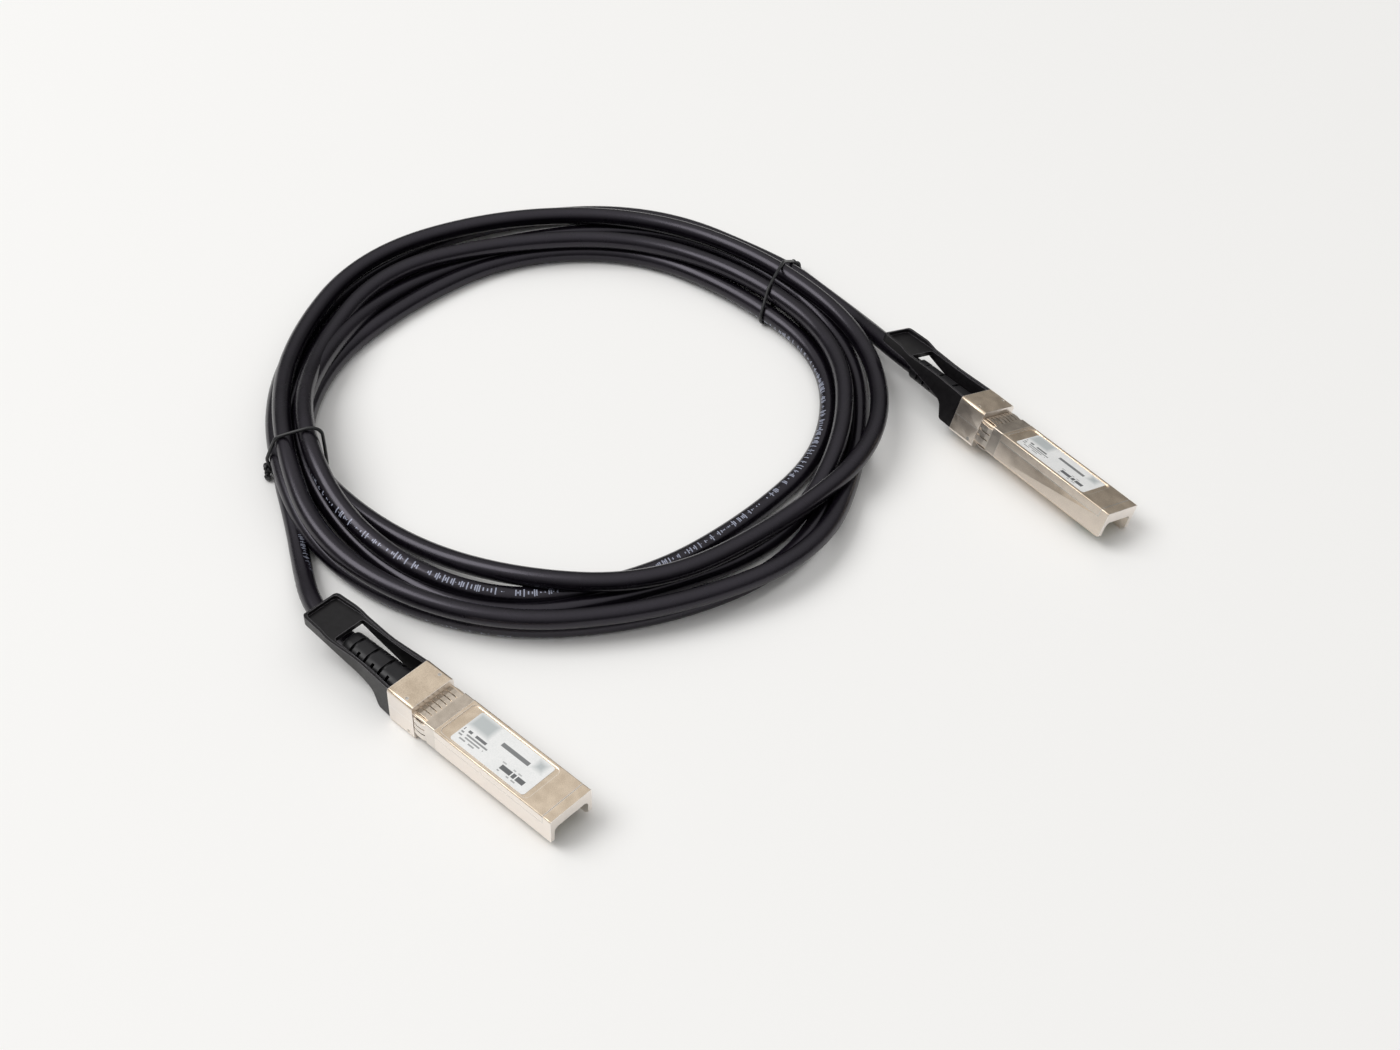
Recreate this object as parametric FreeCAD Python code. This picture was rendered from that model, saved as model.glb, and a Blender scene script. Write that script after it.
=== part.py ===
"""Direct attach copper cable: two die-cast plugs with pull tabs, joined by a coiled cable.

Each plug is built once in its own frame: +X points into the port, +Y to the left, +Z up, with
the origin in the plane of the plug's rear face, midway across, at the level of the bottom that
slides in the port.  The plug is then placed at both ends of the cable.  Lengths are millimetres.

The model's own frame has its origin on the ground, in the middle of the box that holds both
plugs, with +X along end A's plug, +Y from end A towards end B, and +Z up.
"""
import FreeCAD, Part
import math
import os

from FreeCAD import Placement, Rotation, Vector

# Die-cast housing
metal_length = 56.5          # rear face to the tip
body_width = 13.5            # the length that goes into the port
body_height = 8.5
body_corner_cut = 1.1        # 45 degree cut along the bottom corners
shell_length = 9.0           # back shell, which stays outside the port
shell_step = 0.1             # how far the back shell stands out at each side
shell_top = 10.25
shell_drop = 1.15            # how far the back shell reaches below the body
shell_round = 0.9
wall = 1.2
floor_thickness = 1.2
mouth_length = 10.4          # the body is open below over this length, up to the tip
mouth_top = 5.25
mouth_round = 1.5
bridge_length = 2.7          # what joins the sides over the mouth, ahead of the lid
lid_thickness = 1.0
lip_depth = 2.5              # how far the lid's sides come down, from the top
lip_thickness = 0.6
tip_cut = 1.2
seam_gap = 0.08              # seen as a dark line round the lid
seat_clearance = 0.03        # between fixed pieces that seat in one another

# Label
recess_from_collar = 1.0
recess_to_lid_end = 6.3
recess_rim = 0.85
recess_depth = 0.3
recess_round = 1.4
label_from_recess = 1.5      # margin at the end nearer the tip
label_length = 25.2
label_width = 11.0
label_thickness = 0.1

# EMI collar
collar_offset = 0.15         # from the back shell
collar_length = 7.45
collar_band = 3.2            # plain front band, which goes all the way round
collar_sheet = 0.25
collar_seat = 0.3            # depth of the recess that it sits in
collar_bulge = 0.3           # how far the fingers stand out
collar_slot = 0.35
top_fingers = 7
side_fingers = 3

# Card and wires
card_from_block = 4.5        # from the wires' way out to the card's rear edge
card_setback = 3.2           # from the tip back to the contact edge
card_width = 9.2
card_thickness = 1.0
card_bottom = 2.25
chip_length = 4.9
chip_width = 3.9
chip_height = 1.1
chip_start = 31.0
pair_width = 2.2             # two insulated wires side by side in one shield
pair_height = 1.0
pair_rise = 0.9              # each pair's distance from the cable's axis
pair_bend = 1.5
pair_solder = 3.0            # length soldered to the card
pair_end_gap = 0.4
wire_way_half = 3.2          # half the width of the wires' way through the base
ferrule_start = 3.7
ferrule_end = 8.0
ferrule_radius = 2.4
ferrule_wall = 0.4

# Cable and its boot
cable_diameter = 5.3
boot_rear = 22.0             # length behind the rear face
boot_front = 3.6             # length inside the back shell
boot_wall = 0.25             # over and under the cable, where the boot is thinnest
boot_half_width = 4.25
boot_web = 0.35              # metal left between the boot's seat and the latch groove
boot_end_half_width = 3.1
boot_flange_start = 1.0
boot_flange_end = 2.4
boot_flange_step = 0.95
boot_slot = 0.9
boot_slots = 6               # at the cable's sides, then over and under it, by turns
boot_slot_pitch = 2.75
boot_slot_margin = 0.5
boot_side_slot = 2.55        # half the height of a slot at the sides
boot_core_wall = 0.05        # left round the cable in the slots
boot_first_slot = 5.05

# Pull tab
tab_gap = 0.15               # between the tab and the rear face when the tab is in
tab_travel = 2.5
tab_length = 33.9
tab_over_boot = 0.6          # room between the boot and the tab's top plate
tab_under_boot = 0.3
grip_step = 0.8              # how far the grip's rim stands above the arms
grip_start = 22.3            # rear edge of the window
grip_depth = 1.15            # depth of the sunken panel
grip_rim = 1.0
window_rim = 0.8             # between the panel and the window
tab_half_width = 6.5
tab_waist = 5.65
tab_waist_at = 12.0
grip_half_width = 6.3
grip_end_half_width = 5.7
tab_plate = 1.8
window_half_width = 4.25
tab_beside_boot = 0.35
tab_foot = -0.6

# Latch
groove_half_width = 2.1
groove_roof = 1.45
groove_step = 8.5            # from here forward the groove is deeper, for the rising arm
groove_end = 16.0
arm_clearance = 0.19         # between the risen arm and the groove's roof
pivot_along = 7.0
pivot_height = 0.35
pin_radius = 0.5
pin_recess = 0.1
pivot_clearance = 0.05
latch_angle = 11.0           # degrees, when the tab is pulled right out
lever_half_width = 1.75
lever_hub = 1.0
lever_nose_reach = 4.0       # from the pivot back to the nose
lever_nose_radius = 0.5
lever_neck_half_width = 0.95
lever_arm_end = 15.0
lever_arm_bottom = 0.3
lever_arm_top = 1.0
lever_arm_half_width = 1.3
tooth_rear = 12.0
tooth_front = 14.6
tooth_bottom = -0.85
slider_sheet = 0.4
slider_bottom = 0.95
slider_gap = 0.05            # between the nose and the ramp
ramp_end = 5.7
slider_rear = 4.2
slider_tee = 1.0
slider_tee_half_width = 3.0
spring_sheet = 0.2
spring_half_width = 0.8

# Cover pins
cover_pin_radius = 0.4
cover_pin_along = 5.7
cover_pin_across = 5.3
cover_pin_foot = 2.0
cover_pin_recess = 0.15

# Where the plugs lie: end A stands level on its back shell, end B leans on the edge of its tip
end_a_place = (-30.2, -92.4)
end_b_place = (6.8, 86.4)
end_b_turn = (-7.7, 1.7, -17.9)     # yaw, pitch, roll in degrees

# The coil: the ring that the turns fill
ring_centre = (-79.1, 13.3)
ring_outer = 89.6
ring_inner = 70.4
ring_height = 10.5
ring_cut = 2.8               # 45 degree cut along the ring's edges

# Wire ties round the coil
tie_wire = 1.0
tie_height = 11.6
tie_end_length = 7.0
coil_ties = {                # direction from the centre, then inner and outer reach
    "coil_tie_left": (-119.0, 70.3, 91.8),
    "coil_tie_right": (84.0, 68.6, 93.0),
}

# The cable's route outside the coil
exit_run = 9.0               # straight out of each boot
tail_a_points = [
    (-71.9, -89.5, 4.75),
    (-83.4, -82.8, 2.65),
    (-98.0, -73.4, 2.65),
    (-112.9, -63.5, 2.65),
]
tail_b_points = [
    (-34.3, 96.0, 6.8),
    (-46.0, 101.0, 3.6),
    (-60.0, 104.0, 2.65),
    (-75.2, 105.0, 2.65),
    (-89.8, 102.1, 2.65),
]

# What follows from these
shell_width = body_width + 2 * shell_step
inner_half = body_width / 2 - wall
lid_end = metal_length - bridge_length
lid_bottom = body_height - lid_thickness
shoulder = body_height - lip_depth
boot_half_height = cable_diameter / 2 + boot_wall
axis_height = groove_roof + boot_web + boot_half_height     # the seam lies in the cable's plane
collar_start = shell_length + collar_offset
collar_end = collar_start + collar_length
mouth_start = metal_length - mouth_length
rear_block_end = collar_end + 0.4
recess_end = lid_end - recess_to_lid_end
label_end = recess_end - label_from_recess
card_end = metal_length - card_setback
card_top = card_bottom + card_thickness
tab_under = axis_height + boot_half_height + tab_over_boot
tab_top = tab_under + tab_plate
grip_top = tab_top + grip_step
bridge_top = axis_height - boot_half_height - tab_under_boot
channel_half_width = boot_half_width + tab_beside_boot
nose_along = pivot_along - lever_nose_reach
card_start = rear_block_end + card_from_block
wire_floor = axis_height - pair_rise - pair_height / 2 - 0.2
full_rock = math.radians(latch_angle)
arm_rise = (lever_arm_end - pivot_along) * math.sin(full_rock)
arm_rise = arm_rise + (lever_arm_top - pivot_height) * math.cos(full_rock)
groove_front_roof = pivot_height + arm_rise + arm_clearance


def box(x, y, z):
    """Block between pairs of limits along each axis."""
    size = (x[1] - x[0], y[1] - y[0], z[1] - z[0])
    return Part.makeBox(*size, Vector(x[0], y[0], z[0]))


def rod(radius, start, direction, length):
    return Part.makeCylinder(radius, length, Vector(*start), Vector(*direction))


def outline(corners):
    """Closed flat wire through the corners; a third number rounds its corner by that radius."""
    count = len(corners)
    turns = []
    for i, corner in enumerate(corners):
        here = Vector(corner[0], corner[1], 0)
        radius = corner[2] if len(corner) > 2 else 0.0
        if radius == 0.0:
            turns.append((here, None, here))
            continue
        before = corners[i - 1]
        after = corners[(i + 1) % count]
        back = (Vector(before[0], before[1], 0) - here).normalize()
        ahead = (Vector(after[0], after[1], 0) - here).normalize()
        half = back.getAngle(ahead) / 2
        reach = radius / math.tan(half)
        middle = here + (back + ahead).normalize() * (radius / math.sin(half) - radius)
        turns.append((here + back * reach, middle, here + ahead * reach))
    edges = []
    for i, (start, middle, stop) in enumerate(turns):
        if middle is not None:
            edges.append(Part.Arc(start, middle, stop).toShape())
        following = turns[(i + 1) % count][0]
        if (following - stop).Length > 1e-6:
            edges.append(Part.LineSegment(stop, following).toShape())
    return Part.Wire(edges)


def across_x(corners, x):
    """Wire in a plane across X, from corners given as (y, z)."""
    wire = outline(corners)
    wire.Placement = Placement(Vector(x, 0, 0), Rotation(Vector(1, 1, 1), 120))
    return wire


def along_x(corners, x):
    """Solid with the outline given as (y, z), running between two places along X."""
    return Part.Face(across_x(corners, x[0])).extrude(Vector(x[1] - x[0], 0, 0))


def along_y(corners, y):
    """Solid with the outline given as (x, z), running between two places along Y."""
    wire = outline(corners)
    wire.Placement = Placement(Vector(0, y[0], 0), Rotation(Vector(1, 0, 0), 90))
    return Part.Face(wire).extrude(Vector(0, y[1] - y[0], 0))


def along_z(corners, z):
    """Solid with the outline given as (x, y), running between two heights."""
    wire = outline(corners)
    wire.Placement = Placement(Vector(0, 0, z[0]), Rotation())
    return Part.Face(wire).extrude(Vector(0, 0, z[1] - z[0]))


def rectangle(a, b, radius=0.0):
    """Corners of a rectangle between pairs of limits, all rounded alike."""
    return [(a[0], b[0], radius), (a[1], b[0], radius), (a[1], b[1], radius), (a[0], b[1], radius)]


def both_sides(solid):
    """The solid and its mirror image across the plug's middle plane."""
    return solid.fuse(solid.mirror(Vector(0, 0, 0), Vector(0, 1, 0)))


def body_section(inset, top):
    """Section of the part that goes into the port, drawn in by an inset."""
    half = body_width / 2 - inset
    cut = body_corner_cut - inset * (2 - math.sqrt(2))
    return [
        (-half + cut, inset),
        (half - cut, inset),
        (half, inset + cut),
        (half, top, 0.35),
        (-half, top, 0.35),
        (-half, inset + cut),
    ]


def collar_recess():
    """What is cut from base and cover so that the collar lies flush."""
    span = (shell_length, collar_end + seam_gap)
    outside = along_x(rectangle((-shell_width, shell_width), (-shell_width, shell_width)), span)
    return outside.cut(along_x(body_section(collar_seat, body_height - collar_seat), span))


def boot_section(x, half_width, grow=0.0):
    """Section of the boot: flat above and below, with round sides."""
    half_height = boot_half_height + grow
    half_width = half_width + grow
    sides = rectangle((-half_width, half_width), (axis_height - half_height, axis_height + half_height), half_height)
    return across_x(sides, x)


def boot_rib(span, half_width):
    """A stretch of the boot of one width."""
    return Part.Face(boot_section(span[0], half_width)).extrude(Vector(span[1] - span[0], 0, 0))


def boot_tail():
    """The boot behind the shell: ribs that get narrower from slot to slot."""
    narrowing = (boot_half_width - boot_end_half_width) / boot_slots
    ribs = [boot_rib((-boot_first_slot, 0), boot_half_width)]
    for i in range(boot_slots):
        front = -boot_first_slot - i * boot_slot_pitch
        rear = front - boot_slot_pitch
        if i == boot_slots - 1:
            rear = -boot_rear
        ribs.append(boot_rib((rear, front), boot_half_width - (i + 1) * narrowing))
    return ribs[0].fuse(ribs[1:])


def cable_seat():
    """Space in the back shell for the boot, the ferrule and the wires."""
    front = boot_front + seat_clearance
    boot = Part.Face(boot_section(-1.0, boot_half_width, seat_clearance)).extrude(Vector(1.0 + front, 0, 0))
    half_width = boot_half_width + boot_flange_step
    start = boot_flange_start - seat_clearance
    length = boot_flange_end + seat_clearance - start
    flange = Part.Face(boot_section(start, half_width, seat_clearance)).extrude(Vector(length, 0, 0))
    ferrule_room = ferrule_end + 0.3 - front
    ferrule = rod(ferrule_radius + seat_clearance, (front, 0, axis_height), (1, 0, 0), ferrule_room)
    wires = along_x(
        [
            (-wire_way_half, wire_floor, 0.8),
            (wire_way_half, wire_floor, 0.8),
            (wire_way_half, lid_bottom),
            (-wire_way_half, lid_bottom),
        ],
        (ferrule_end, rear_block_end + 1),
    )
    return boot.fuse([flange, ferrule, wires])


def cover_pin_bores():
    bore = rod(
        cover_pin_radius + seat_clearance,
        (cover_pin_along, cover_pin_across, cover_pin_foot - 0.1),
        (0, 0, 1),
        shell_top,
    )
    return both_sides(bore)


def base_shell():
    """Lower housing: body with skirts and arch at the tip, card ledges, latch groove, back shell."""
    body = along_x(body_section(0.0, body_height), (shell_length, metal_length))
    above_shoulder = box((0, lid_end), (-shell_width, shell_width), (shoulder, shell_top))
    body = body.cut(above_shoulder)
    rib_outer = body_width / 2 - lip_thickness - seat_clearance
    rib = box((shell_length, lid_end), (inner_half, rib_outer), (shoulder - 0.5, lid_bottom))
    body = body.fuse(both_sides(rib))

    chamber = along_z(
        rectangle((rear_block_end, lid_end), (-inner_half, inner_half), 0.8),
        (floor_thickness, body_height + 1),
    )
    mouth = along_x(
        [
            (-inner_half, -1),
            (inner_half, -1),
            (inner_half, mouth_top, mouth_round),
            (-inner_half, mouth_top, mouth_round),
        ],
        (mouth_start, metal_length + 1),
    )
    body = body.cut([chamber, mouth])

    ledge = box((26.0, mouth_start), (card_width / 2 - 0.6, inner_half + 0.1), (0.5, card_bottom))
    stop = box((36.0, 39.0), (card_width / 2 + seat_clearance, inner_half + 0.1), (0.5, card_top))
    body = body.fuse([both_sides(ledge), both_sides(stop)])

    tip = metal_length + 0.01
    nose_cut = along_y([(tip - tip_cut, -0.01), (tip, -0.01), (tip, tip_cut)], (-shell_width, shell_width))
    body = body.cut(nose_cut)

    half = shell_width / 2
    shell = along_x(
        [
            (-half, -shell_drop, shell_round),
            (half, -shell_drop, shell_round),
            (half, axis_height),
            (-half, axis_height),
        ],
        (0, shell_length),
    )
    cuts = [
        collar_recess(),
        cable_seat(),
        cover_pin_bores(),
        box((-1, groove_step), (-groove_half_width, groove_half_width), (-5, groove_roof)),
        box((groove_step, groove_end), (-groove_half_width, groove_half_width), (-5, groove_front_roof)),
        rod(pin_radius + seat_clearance, (pivot_along, -shell_width, pivot_height), (0, 1, 0), 2 * shell_width),
    ]
    return body.fuse(shell).removeSplitter().cut(cuts)


def top_cover():
    """Upper housing: the raised back shell and the lid in one casting, with posts on the card."""
    half = body_width / 2
    lid = along_x(
        [
            (-half, shoulder + seam_gap),
            (half, shoulder + seam_gap),
            (half, body_height, 0.35),
            (-half, body_height, 0.35),
        ],
        (shell_length - 1, lid_end - seam_gap),
    )
    inside = half - lip_thickness
    lid = lid.cut(box((0, metal_length), (-inside, inside), (0, lid_bottom)))
    post = box(
        (39.2, 40.8),
        (card_width / 2 - 1.8, card_width / 2 - 0.2),
        (card_top, lid_bottom + 0.2),
    )
    other_post = post.translated(Vector(-14.0, 0, 0))

    half_shell = shell_width / 2
    shell = along_x(
        [
            (-half_shell, axis_height),
            (half_shell, axis_height),
            (half_shell, shell_top, shell_round),
            (-half_shell, shell_top, shell_round),
        ],
        (0, shell_length),
    )
    cover = shell.fuse([lid, both_sides(post), both_sides(other_post)]).removeSplitter()
    label_recess = along_z(
        rectangle((collar_end + recess_from_collar, recess_end), (-half + recess_rim, half - recess_rim), recess_round),
        (body_height - recess_depth, body_height + 1),
    )
    return cover.cut([collar_recess(), cable_seat(), cover_pin_bores(), label_recess])


def finger_plate(width, fingers):
    """Row of bulged fingers along Y, lying on the plane z = 0, joined at the front."""
    start = collar_start
    stop = collar_end - collar_band
    third = (stop - start) / 3
    under = [(start, 0), (start + third, collar_bulge), (stop - third, collar_bulge), (stop, 0)]
    over = [(x, z + collar_sheet) for x, z in reversed(under)]
    plate = along_y(under + over, (-width / 2, width / 2))
    pitch = width / fingers
    slots = []
    for i in range(1, fingers):
        y = -width / 2 + i * pitch
        slots.append(box((start - 1, stop - 0.3), (y - collar_slot / 2, y + collar_slot / 2), (-1, 2)))
    return plate.cut(slots)


def emi_collar():
    """Stamped sheet collar: a closed band with spring fingers towards the back shell."""
    outer = body_section(collar_seat - collar_sheet, body_height - collar_seat + collar_sheet)
    inner = body_section(collar_seat, body_height - collar_seat)
    span = (collar_end - collar_band, collar_end)
    collar = along_x(outer, span).cut(along_x(inner, span))
    top_width = body_width - 2.4
    side_height = body_height - body_corner_cut - 1.6
    top = finger_plate(top_width, top_fingers)
    bottom = finger_plate(top_width, top_fingers)
    bottom.rotate(Vector(0, 0, 0), Vector(1, 0, 0), 180)
    side = finger_plate(side_height, side_fingers)
    side.rotate(Vector(0, 0, 0), Vector(1, 0, 0), -90)
    side_middle = (body_corner_cut + 0.3 + body_height - 0.9) / 2
    collar = collar.fuse([
        top.translated(Vector(0, 0, body_height - collar_seat)),
        bottom.translated(Vector(0, 0, collar_seat)),
        both_sides(side.translated(Vector(0, body_width / 2 - collar_seat, side_middle))),
    ])
    tooth_way = box((collar_start - 1, lever_arm_end + 0.3), (-groove_half_width, groove_half_width), (-2, 2))
    return collar.cut(tooth_way).removeSplitter()


def paddle_card():
    """Circuit card whose front edge is the plug's contact edge."""
    half = card_width / 2
    card = box((card_start, card_end), (-half, half), (card_bottom, card_top))
    corner = along_z([(card_end, half), (card_end - 0.6, half), (card_end, half - 0.6)], (0, body_height))
    return card.cut(both_sides(corner))


def memory_chip():
    """Moulded chip with a bevel along its top edges."""
    end = chip_start + chip_length
    half = chip_width / 2
    lower = card_top + chip_height * 0.55
    upper = card_top + chip_height
    body = box((chip_start, end), (-half, half), (card_top, lower))
    bevel = 0.25
    top = Part.makeLoft(
        [
            Part.makePolygon([Vector(x, y, lower) for x, y in
                              [(chip_start, -half), (end, -half), (end, half), (chip_start, half), (chip_start, -half)]]),
            Part.makePolygon([Vector(x, y, upper) for x, y in
                              [(chip_start + bevel, bevel - half), (end - bevel, bevel - half),
                               (end - bevel, half - bevel), (chip_start + bevel, half - bevel),
                               (chip_start + bevel, bevel - half)]]),
        ],
        True,
        True,
    )
    return body.fuse(top).removeSplitter()


def twin_pair(from_height, to_height):
    """One shielded pair: straight from the ferrule, an S bend, then flat on the card."""
    half = pair_height / 2
    start = ferrule_start + 0.2
    first = rear_block_end + pair_end_gap + half
    second = card_start - pair_end_gap
    end = card_start + pair_solder
    lower = pair_bend - half if to_height < from_height else pair_bend + half
    upper = pair_bend + half if to_height < from_height else pair_bend - half
    return along_y(
        [
            (start, from_height + half),
            (first, from_height + half, upper),
            (second, to_height + half, lower),
            (end, to_height + half),
            (end, to_height - half),
            (second, to_height - half, upper),
            (first, from_height - half, lower),
            (start, from_height - half),
        ],
        (-pair_width / 2, pair_width / 2),
    )


def twinax_pairs():
    """The two wire pairs, one soldered to each side of the card."""
    upper = twin_pair(axis_height + pair_rise, card_top + pair_height / 2 + seat_clearance)
    lower = twin_pair(axis_height - pair_rise, card_bottom - pair_height / 2 - seat_clearance)
    return Part.Compound([upper, lower])


def crimp_ferrule():
    length = ferrule_end - ferrule_start
    outer = rod(ferrule_radius, (ferrule_start, 0, axis_height), (1, 0, 0), length)
    return outer.cut(rod(ferrule_radius - ferrule_wall, (ferrule_start, 0, axis_height), (1, 0, 0), length))


def strain_relief():
    """Moulded boot on the cable: a flange held by the shell and a tapered, slotted tail."""
    inside = boot_rib((0, boot_front), boot_half_width)
    flange = boot_rib((boot_flange_start, boot_flange_end), boot_half_width + boot_flange_step)
    boot = boot_tail().fuse([inside, flange])
    narrowing = (boot_half_width - boot_end_half_width) / boot_slots
    slots = []
    for i in range(boot_slots):
        x = -boot_first_slot - i * boot_slot_pitch
        span = (x - boot_slot / 2, x + boot_slot / 2)
        half_width = boot_half_width - (i + 1) * narrowing
        if i % 2 == 1:
            across = (-half_width + boot_slot_margin, half_width - boot_slot_margin)
            heights = (axis_height - shell_top, axis_height + shell_top)
        else:
            across = (-shell_width, shell_width)
            heights = (axis_height - boot_side_slot, axis_height + boot_side_slot)
        slots.append(box(span, across, heights))
    core = cable_diameter / 2 + boot_core_wall
    flat = core * math.tan(math.pi / 8)
    bottom = axis_height - core
    top = axis_height + core
    corners = [
        (-flat, bottom), (flat, bottom), (core, axis_height - flat), (core, axis_height + flat),
        (flat, top), (-flat, top), (-core, axis_height + flat), (-core, axis_height - flat),
    ]
    slots = slots[0].fuse(slots[1:]).cut(along_x(corners, (-boot_rear - 1, 0)))
    return boot.cut(slots).removeSplitter()


def tab_slider():
    """Stamped slider that the tab pulls; its two flanges end in ramps over the latch's nose."""
    top = slider_bottom + slider_sheet
    tongue = box((-slider_rear, 2.2), (-lever_half_width, lever_half_width), (slider_bottom, top))
    tee = box(
        (-slider_rear, -slider_rear + slider_tee),
        (-slider_tee_half_width, slider_tee_half_width),
        (slider_bottom, top),
    )
    drop = lever_nose_reach * math.sin(full_rock)
    slope = drop / tab_travel
    steepness = math.hypot(1, slope)
    ramp_at_nose = pivot_height + (lever_nose_radius + slider_gap) * steepness
    ramp_start = nose_along + (ramp_at_nose - slider_bottom) / slope
    ramp_foot = ramp_at_nose - slope * (ramp_end - nose_along)
    flange = along_y(
        [(1.2, top), (ramp_end, top), (ramp_end, ramp_foot), (ramp_start, slider_bottom), (1.2, slider_bottom)],
        (lever_half_width - slider_sheet, lever_half_width),
    )
    return tongue.fuse([tee, both_sides(flange)]).removeSplitter()


def pull_tab():
    """Moulded tab: two arms beside the boot, legs and a bridge below it, and a grip behind."""
    front = -tab_gap
    rear = -tab_length
    side = along_y(
        [
            (front, tab_top),
            (-grip_start - 0.6, tab_top, 2.0),
            (-grip_start - 3.4, grip_top, 2.0),
            (rear, grip_top, 1.0),
            (rear, tab_under, 0.8),
            (-grip_start - 1.5, tab_under - 0.1, 6.0),
            (-17.0, 6.3, 12.0),
            (-7.0, 4.0, 3.0),
            (-4.9, tab_foot, 1.0),
            (front, tab_foot, 0.5),
        ],
        (-shell_width, shell_width),
    )
    plan = along_z(
        [
            (front, -tab_half_width),
            (front, tab_half_width),
            (-tab_waist_at, tab_waist, 40.0),
            (-grip_start - 1.5, grip_half_width, 12.0),
            (rear, grip_end_half_width, 2.2),
            (rear, -grip_end_half_width, 2.2),
            (-grip_start - 1.5, -grip_half_width, 12.0),
            (-tab_waist_at, -tab_waist, 40.0),
        ],
        (-shell_width, shell_width),
    )
    window = along_z(
        [
            (-grip_start, -window_half_width, 1.2),
            (1, -window_half_width),
            (1, window_half_width),
            (-grip_start, window_half_width, 1.2),
        ],
        (bridge_top, shell_width),
    )
    channel = box((-tab_length - 1, 1), (-channel_half_width, channel_half_width), (bridge_top, tab_under))
    panel_half = grip_end_half_width - grip_rim
    panel = along_z(
        rectangle((rear + grip_rim, -grip_start - window_rim), (-panel_half, panel_half), 0.9),
        (grip_top - grip_depth, shell_width),
    )
    return side.common(plan).cut([window, channel, panel, tab_slider()])


def latch_lever():
    """Rocking lever whose tooth locks the plug in its port."""
    hub = rod(lever_hub, (pivot_along, -lever_half_width, pivot_height), (0, 1, 0), 2 * lever_half_width)
    nose = rod(lever_nose_radius, (nose_along, -lever_half_width, pivot_height), (0, 1, 0), 2 * lever_half_width)
    neck = box(
        (nose_along, pivot_along),
        (-lever_neck_half_width, lever_neck_half_width),
        (pivot_height - lever_nose_radius, pivot_height + lever_nose_radius),
    )
    arm = box(
        (pivot_along, lever_arm_end),
        (-lever_arm_half_width, lever_arm_half_width),
        (lever_arm_bottom, lever_arm_top),
    )
    tooth = along_y(
        [(tooth_rear, lever_arm_top), (tooth_front, lever_arm_top), (tooth_front, 0.1), (tooth_rear, tooth_bottom)],
        (-lever_arm_half_width, lever_arm_half_width),
    )
    bore = rod(
        pin_radius + pivot_clearance,
        (pivot_along, -shell_width, pivot_height),
        (0, 1, 0),
        2 * shell_width,
    )
    return hub.fuse([nose, neck, arm, tooth]).removeSplitter().cut(bore)


def latch_pin():
    half = shell_width / 2 - pin_recess
    return rod(pin_radius, (pivot_along, -half, pivot_height), (0, 1, 0), 2 * half)


def latch_spring():
    """Leaf spring from the groove's roof down onto the lever's arm."""
    roof = groove_front_roof
    seat = lever_arm_top
    return along_y(
        [
            (9.2, roof),
            (10.5, roof, 0.6),
            (13.2, seat + spring_sheet, 0.5),
            (14.0, seat + spring_sheet + 0.25),
            (14.0, seat + 0.25),
            (13.25, seat, 0.5),
            (10.4, roof - spring_sheet, 0.4),
            (9.2, roof - spring_sheet),
        ],
        (-spring_half_width, spring_half_width),
    )


def label():
    half = label_width / 2
    bottom = body_height - recess_depth
    return along_z(rectangle((label_end - label_length, label_end), (-half, half), 0.8), (bottom, bottom + label_thickness))


def cover_pins():
    """Two pins driven through the cover into the base."""
    height = shell_top - cover_pin_recess - cover_pin_foot
    pin = rod(cover_pin_radius, (cover_pin_along, cover_pin_across, cover_pin_foot), (0, 0, 1), height)
    return Part.Compound([pin, pin.mirror(Vector(0, 0, 0), Vector(0, 1, 0))])


def plug():
    """Every piece of one plug, in the plug's own frame."""
    makers = [
        base_shell, top_cover, emi_collar, paddle_card, memory_chip, twinax_pairs, crimp_ferrule,
        strain_relief, pull_tab, tab_slider, latch_lever, latch_pin, latch_spring, label, cover_pins,
    ]
    return {maker.__name__: maker() for maker in makers}


def tube(points, radius):
    """Round tube of straight runs joined by tangent arcs, each as large as its runs allow."""
    edges = []
    start = points[0]
    for i in range(1, len(points) - 1):
        here = points[i]
        back = points[i - 1] - here
        ahead = points[i + 1] - here
        half_turn = (math.pi - back.getAngle(ahead)) / 2
        bend = 0.45 * min(back.Length, ahead.Length) / math.tan(half_turn)
        reach = bend * math.tan(half_turn)
        back.normalize()
        ahead.normalize()
        arc_start = here + back * reach
        arc_stop = here + ahead * reach
        middle = here + (back + ahead).normalize() * (bend / math.cos(half_turn) - bend)
        edges.append(Part.LineSegment(start, arc_start).toShape())
        edges.append(Part.Arc(arc_start, middle, arc_stop).toShape())
        start = arc_stop
        print("  bend radius %.1f, turn %.1f degrees" % (bend, math.degrees(2 * half_turn)))
    edges.append(Part.LineSegment(start, points[-1]).toShape())
    path = Part.Wire(edges)
    section = Part.Wire(Part.makeCircle(radius, points[0], points[1] - points[0]))
    solid = path.makePipeShell([section], True, True)
    expected = math.pi * radius ** 2 * path.Length
    print("  length %.1f, volume over section x length %.4f" % (path.Length, solid.Volume / expected))
    return solid


def cable_coil():
    """The ring that the cable's turns fill."""
    profile = outline([
        (ring_inner + ring_cut, 0),
        (ring_outer - ring_cut, 0),
        (ring_outer, ring_cut),
        (ring_outer, ring_height - ring_cut),
        (ring_outer - ring_cut, ring_height),
        (ring_inner + ring_cut, ring_height),
        (ring_inner, ring_height - ring_cut),
        (ring_inner, ring_cut),
    ])
    profile.Placement = Placement(Vector(0, 0, 0), Rotation(Vector(1, 0, 0), 90))
    ring = Part.Face(profile).revolve(Vector(0, 0, 0), Vector(0, 0, 1), 360)
    return ring.translated(Vector(*ring_centre, 0))


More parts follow.
